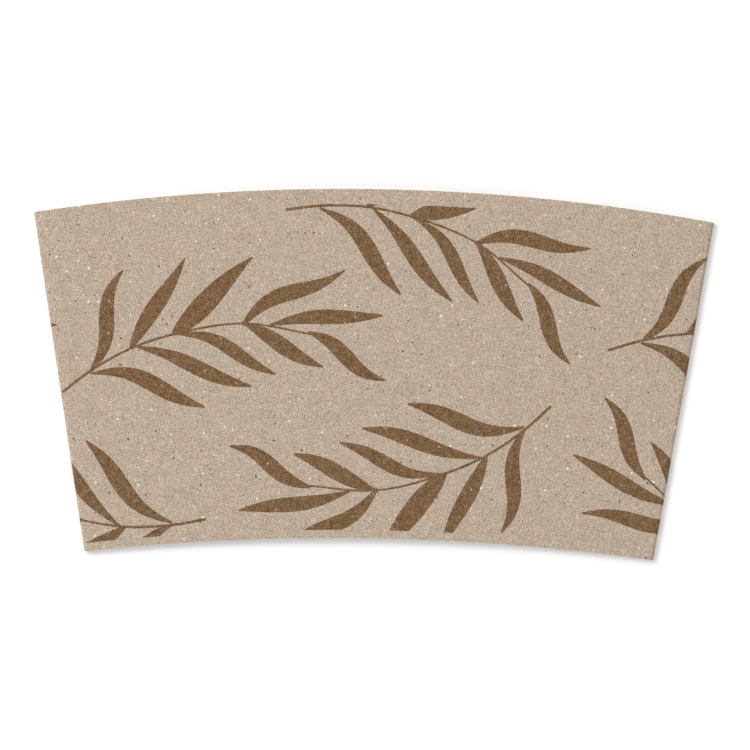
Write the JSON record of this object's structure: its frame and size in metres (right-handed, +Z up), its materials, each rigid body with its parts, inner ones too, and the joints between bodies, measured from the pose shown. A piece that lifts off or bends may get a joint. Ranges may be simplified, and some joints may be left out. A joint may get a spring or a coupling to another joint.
{
  "type": "cup sleeve",
  "caption": "Tapered paperboard sleeve for a takeaway cup, folded flat, with a glued lap on its back and leafy sprigs printed on it.",
  "frame": {"origin": "middle of the footprint, on the table that the folded sleeve lies on", "axes": "+X across the sleeve from its left fold to its right fold, +Y from its narrow bottom edge to its wide top edge, +Z up out of its front"},
  "size_m": [0.127, 0.0684, 0.0024],
  "materials": {
    "recycled_kraft_board": "uncoated recycled grey-brown board, matt, with a visible fibre fleck and a brown leaf print"
  },
  "bodies": {
    "root": {"sleeve": "recycled_kraft_board"}
  },
  "joints": []
}
